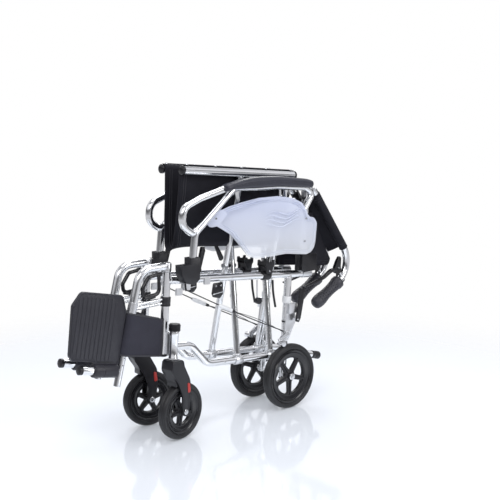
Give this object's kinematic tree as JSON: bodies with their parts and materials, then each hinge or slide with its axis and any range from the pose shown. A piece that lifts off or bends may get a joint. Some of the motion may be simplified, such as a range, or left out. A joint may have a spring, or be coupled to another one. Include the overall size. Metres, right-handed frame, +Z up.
{
  "type": "wheelchair",
  "caption": "Folding transit wheelchair with crossed braces, half-folding back, flip-back armrests and swing-away leg supports, stored folded flat.",
  "frame": {"origin": "centre of the bounding box on the floor", "axes": "-Y to the front of the chair, +X to the sitter's left, +Z up"},
  "size_m": [0.2117, 1.0415, 0.7543],
  "materials": {
    "anodised_aluminium": "polished anodised",
    "black_plastic": "moulded satin",
    "black_nylon": "woven nylon",
    "dark_rubber": "smooth solid tyre",
    "dark_foam": "skinned foam",
    "frosted_panel": "translucent embossed",
    "dark_plastic": "moulded satin"
  },
  "bodies": {
    "left_frame": {"side_frame_left": "anodised_aluminium", "rear_axle_left": "anodised_aluminium", "seat_saddle_left": "black_plastic", "armrest_socket_left": "black_plastic", "armrest_bracket_left": "black_plastic", "parking_bracket_left": "anodised_aluminium", "brake_cable_left": "black_plastic", "back_post_left": "anodised_aluminium"},
    "left_armrest": {"armrest_frame_left": "anodised_aluminium", "armrest_pad_left": "dark_foam", "side_panel_left": "frosted_panel"},
    "left_armrest_latch": {"armrest_latch_left": "black_plastic"},
    "left_rear_wheel": {"rear_rim_left": "black_plastic", "rear_tyre_left": "dark_rubber"},
    "left_castor": {"castor_fork_left": "black_plastic"},
    "left_castor_wheel": {"castor_rim_left": "black_plastic", "castor_tyre_left": "dark_rubber"},
    "left_cane": {"back_cane_left": "anodised_aluminium", "push_grip_left": "dark_rubber"},
    "left_brake_lever": {"brake_lever_left": "black_plastic"},
    "left_back_panel": {"back_panel_left": "black_nylon"},
    "left_back_top": {"back_top_left": "black_nylon"},
    "left_parking_lever": {"parking_lever_left": "black_plastic"},
    "left_brake_shoe": {"brake_shoe_left": "anodised_aluminium"},
    "left_hanger": {"hanger_left": "anodised_aluminium", "calf_strap_left": "black_nylon"},
    "left_footplate": {"footplate_left": "dark_plastic"},
    "left_hanger_latch": {"hanger_latch_left": "black_plastic"},
    "left_sling": {"seat_sling_left": "black_nylon"},
    "right_frame": {"side_frame_right": "anodised_aluminium", "rear_axle_right": "anodised_aluminium", "seat_saddle_right": "black_plastic", "armrest_socket_right": "black_plastic", "armrest_bracket_right": "black_plastic", "parking_bracket_right": "anodised_aluminium", "brake_cable_right": "black_plastic", "back_post_right": "anodised_aluminium"},
    "right_armrest": {"armrest_frame_right": "anodised_aluminium", "armrest_pad_right": "dark_foam", "side_panel_right": "frosted_panel"},
    "right_armrest_latch": {"armrest_latch_right": "black_plastic"},
    "right_rear_wheel": {"rear_rim_right": "black_plastic", "rear_tyre_right": "dark_rubber"},
    "right_castor": {"castor_fork_right": "black_plastic"},
    "right_castor_wheel": {"castor_rim_right": "black_plastic", "castor_tyre_right": "dark_rubber"},
    "right_cane": {"back_cane_right": "anodised_aluminium", "push_grip_right": "dark_rubber"},
    "right_brake_lever": {"brake_lever_right": "black_plastic"},
    "right_back_panel": {"back_panel_right": "black_nylon"},
    "right_back_top": {"back_top_right": "black_nylon"},
    "right_parking_lever": {"parking_lever_right": "black_plastic"},
    "right_brake_shoe": {"brake_shoe_right": "anodised_aluminium"},
    "right_hanger": {"hanger_right": "anodised_aluminium", "calf_strap_right": "black_nylon"},
    "right_footplate": {"footplate_right": "dark_plastic"},
    "right_hanger_latch": {"hanger_latch_right": "black_plastic"},
    "right_sling": {"seat_sling_right": "black_nylon"},
    "brace_a": {"brace_a": "anodised_aluminium"},
    "brace_b": {"brace_b": "anodised_aluminium"}
  },
  "joints": [
    {"name": "frame_open", "type": "hinge", "parent": "left_frame", "child": "brace_a", "pos_m": [0.047, 0.10552, 0.17339], "axis": [0, -0.9973, 0.0732], "range_deg": [0, 48.9]},
    {"name": "brace_cross", "type": "hinge", "parent": "brace_a", "child": "brace_b", "pos_m": [0, 0.12558, 0.4465], "axis": [0, -0.9973, 0.0732], "range_deg": [-97.8, 0]},
    {"name": "right_side_close", "type": "hinge", "parent": "brace_b", "child": "right_frame", "pos_m": [-0.047, 0.10552, 0.17339], "axis": [0, -0.9973, 0.0732], "range_deg": [0, 48.9]},
    {"name": "sling_left_spread", "type": "hinge", "parent": "brace_b", "child": "left_sling", "pos_m": [0.047, 0.06585, 0.72548], "axis": [0, -0.9973, 0.0732], "range_deg": [-20.1, 0]},
    {"name": "sling_right_spread", "type": "hinge", "parent": "brace_a", "child": "right_sling", "pos_m": [-0.047, 0.06585, 0.72548], "axis": [0, -0.9973, 0.0732], "range_deg": [0, 20.1]},
    {"name": "back_panel_spread", "type": "hinge", "parent": "left_frame", "child": "left_back_panel", "pos_m": [0.047, 0.30555, 0.43945], "axis": [0, 0.0732, 0.9973], "range_deg": [0, 66.83], "deforming": ["back_panel_left"]},
    {"name": "back_panel_fold", "type": "hinge", "parent": "left_back_panel", "child": "right_back_panel", "pos_m": [0, 0.54291, 0.42202], "axis": [0, 0.0732, 0.9973], "range_deg": [-133.66, 0], "deforming": ["back_panel_right"]},
    {"name": "back_fold_left", "type": "hinge", "parent": "left_frame", "child": "left_cane", "pos_m": [0.047, 0.3342, 0.668], "axis": [1, 0, 0], "range_deg": [0, 139.5]},
    {"name": "back_fold_right", "type": "hinge", "parent": "right_frame", "child": "right_cane", "pos_m": [-0.047, 0.3342, 0.668], "axis": [1, 0, 0], "range_deg": [0, 139.5]},
    {"name": "back_top_spread", "type": "hinge", "parent": "left_cane", "child": "left_back_top", "pos_m": [0.047, 0.42659, 0.56216], "axis": [0, 0.592, -0.8059], "range_deg": [0, 66.83], "deforming": ["back_top_left"]},
    {"name": "back_top_fold", "type": "hinge", "parent": "left_back_top", "child": "right_back_top", "pos_m": [0, 0.23478, 0.42126], "axis": [0, 0.592, -0.8059], "range_deg": [-133.66, 0], "deforming": ["back_top_right"]},
    {"name": "armrest_flip_left", "type": "hinge", "parent": "left_frame", "child": "left_armrest", "pos_m": [0.077, 0.2852, 0.447], "axis": [-1, 0, 0], "range_deg": [0, 100]},
    {"name": "armrest_latch_turn_left", "type": "hinge", "parent": "left_frame", "child": "left_armrest_latch", "pos_m": [0.077, -0.1238, 0.468], "axis": [-1, 0, 0], "range_deg": [0, 25], "stiffness_Nm_per_rad": 0.2, "springref_deg": -11.46},
    {"name": "rear_wheel_spin_left", "type": "hinge", "parent": "left_frame", "child": "left_rear_wheel", "pos_m": [0.076, 0.2252, 0.1], "axis": [1, 0, 0], "continuous": true},
    {"name": "castor_swivel_left", "type": "hinge", "parent": "left_frame", "child": "left_castor", "pos_m": [0.082, -0.21907, 0.23182], "axis": [0, 0.0732, 0.9973], "continuous": true},
    {"name": "castor_spin_left", "type": "hinge", "parent": "left_castor", "child": "left_castor_wheel", "pos_m": [0.07505, -0.19072, 0.08005], "axis": [0.9848, 0.1732, -0.0127], "continuous": true},
    {"name": "hand_brake_left", "type": "hinge", "parent": "left_cane", "child": "left_brake_lever", "pos_m": [0.047, 0.4702, 0.4], "axis": [1, 0, 0], "range_deg": [0, 15], "stiffness_Nm_per_rad": 0.6, "springref_deg": -17.19},
    {"name": "parking_brake_left", "type": "hinge", "parent": "left_frame", "child": "left_parking_lever", "pos_m": [0.0771, 0.2592, 0.272], "axis": [1, 0, 0], "range_deg": [0, 35]},
    {"name": "brake_shoe_turn_left", "type": "hinge", "parent": "left_frame", "child": "left_brake_shoe", "pos_m": [0.0661, 0.2332, 0.232], "axis": [1, 0, 0], "range_deg": [0, 1.55]},
    {"name": "hanger_swing_left", "type": "hinge", "parent": "left_frame", "child": "left_hanger", "pos_m": [0.047, -0.23057, 0.19807], "axis": [0, 0.0732, 0.9973], "range_deg": [0, 90], "deforming": ["calf_strap_left"]},
    {"name": "footplate_turn_left", "type": "hinge", "parent": "left_hanger", "child": "left_footplate", "pos_m": [0.047, -0.4133, 0.2298], "axis": [0, -0.9833, 0.1822], "range_deg": [0, 90]},
    {"name": "hanger_latch_turn_left", "type": "hinge", "parent": "left_hanger", "child": "left_hanger_latch", "pos_m": [0.047, -0.2368, 0.464], "axis": [0, -1, 0], "range_deg": [0, 20], "stiffness_Nm_per_rad": 0.15, "springref_deg": -11.46},
    {"name": "armrest_flip_right", "type": "hinge", "parent": "right_frame", "child": "right_armrest", "pos_m": [-0.077, 0.2852, 0.447], "axis": [-1, 0, 0], "range_deg": [0, 100]},
    {"name": "armrest_latch_turn_right", "type": "hinge", "parent": "right_frame", "child": "right_armrest_latch", "pos_m": [-0.077, -0.1238, 0.468], "axis": [-1, 0, 0], "range_deg": [0, 25], "stiffness_Nm_per_rad": 0.2, "springref_deg": -11.46},
    {"name": "rear_wheel_spin_right", "type": "hinge", "parent": "right_frame", "child": "right_rear_wheel", "pos_m": [-0.076, 0.2252, 0.1], "axis": [1, 0, 0], "continuous": true},
    {"name": "castor_swivel_right", "type": "hinge", "parent": "right_frame", "child": "right_castor", "pos_m": [-0.082, -0.21907, 0.23182], "axis": [0, 0.0732, 0.9973], "continuous": true},
    {"name": "castor_spin_right", "type": "hinge", "parent": "right_castor", "child": "right_castor_wheel", "pos_m": [-0.07643, -0.1905, 0.08003], "axis": [0.9903, -0.1388, 0.0102], "continuous": true},
    {"name": "hand_brake_right", "type": "hinge", "parent": "right_cane", "child": "right_brake_lever", "pos_m": [-0.047, 0.4702, 0.4], "axis": [1, 0, 0], "range_deg": [0, 15], "stiffness_Nm_per_rad": 0.6, "springref_deg": -17.19},
    {"name": "parking_brake_right", "type": "hinge", "parent": "right_frame", "child": "right_parking_lever", "pos_m": [-0.0771, 0.2592, 0.272], "axis": [1, 0, 0], "range_deg": [0, 35]},
    {"name": "brake_shoe_turn_right", "type": "hinge", "parent": "right_frame", "child": "right_brake_shoe", "pos_m": [-0.0661, 0.2332, 0.232], "axis": [1, 0, 0], "range_deg": [0, 1.55]},
    {"name": "hanger_swing_right", "type": "hinge", "parent": "right_frame", "child": "right_hanger", "pos_m": [-0.047, -0.23057, 0.19807], "axis": [0, -0.0732, -0.9973], "range_deg": [0, 90], "deforming": ["calf_strap_right"]},
    {"name": "footplate_turn_right", "type": "hinge", "parent": "right_hanger", "child": "right_footplate", "pos_m": [-0.047, -0.4133, 0.2298], "axis": [0, 0.9833, -0.1822], "range_deg": [0, 90]},
    {"name": "hanger_latch_turn_right", "type": "hinge", "parent": "right_hanger", "child": "right_hanger_latch", "pos_m": [-0.047, -0.2368, 0.464], "axis": [0, 1, 0], "range_deg": [0, 20], "stiffness_Nm_per_rad": 0.15, "springref_deg": -11.46}
  ],
  "couplings": [
    {"joint": "brace_cross", "follows": "frame_open", "ratio": -2},
    {"joint": "right_side_close", "follows": "frame_open", "ratio": 1},
    {"joint": "sling_left_spread", "follows": "frame_open", "ratio": -0.41104},
    {"joint": "sling_right_spread", "follows": "frame_open", "ratio": 0.41104},
    {"joint": "back_panel_spread", "follows": "frame_open", "ratio": 1.3667},
    {"joint": "back_panel_fold", "follows": "frame_open", "ratio": -2.7333},
    {"joint": "back_fold_right", "follows": "back_fold_left", "ratio": 1},
    {"joint": "back_top_spread", "follows": "frame_open", "ratio": 1.3667},
    {"joint": "back_top_fold", "follows": "frame_open", "ratio": -2.7333},
    {"joint": "brake_shoe_turn_left", "follows": "parking_brake_left", "ratio": 0.044286},
    {"joint": "footplate_turn_left", "follows": "frame_open", "ratio": 1.8405},
    {"joint": "brake_shoe_turn_right", "follows": "parking_brake_right", "ratio": 0.044286},
    {"joint": "footplate_turn_right", "follows": "frame_open", "ratio": 1.8405}
  ]
}
